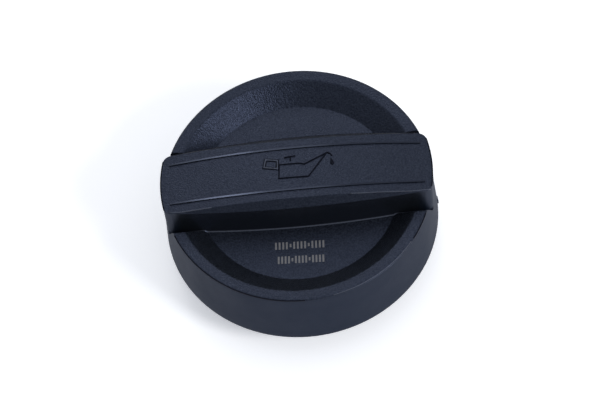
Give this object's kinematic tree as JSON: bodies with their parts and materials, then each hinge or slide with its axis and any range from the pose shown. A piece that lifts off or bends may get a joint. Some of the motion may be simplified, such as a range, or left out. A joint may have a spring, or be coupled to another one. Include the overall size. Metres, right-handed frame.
{
  "type": "oil filler cap",
  "caption": "Bayonet oil filler cap: flared plastic cover with a shallow bowl and arched bar grip, clip-in stem with lugs, rubber seal.",
  "frame": {"origin": "on the cap's axis, at the end of the stem that the cap stands on", "axes": "+Z along the axis, out of the engine; +X along the bar grip"},
  "size_m": [0.07, 0.07, 0.0317],
  "materials": {
    "cover_plastic": "navy-tinted black, fine grain",
    "plug_plastic": "black, smooth moulded",
    "seal_rubber": "matt black moulded rubber"
  },
  "bodies": {
    "root": {"grip_cover": "cover_plastic", "bayonet_plug": "plug_plastic", "sealing_ring": "seal_rubber"}
  },
  "joints": []
}
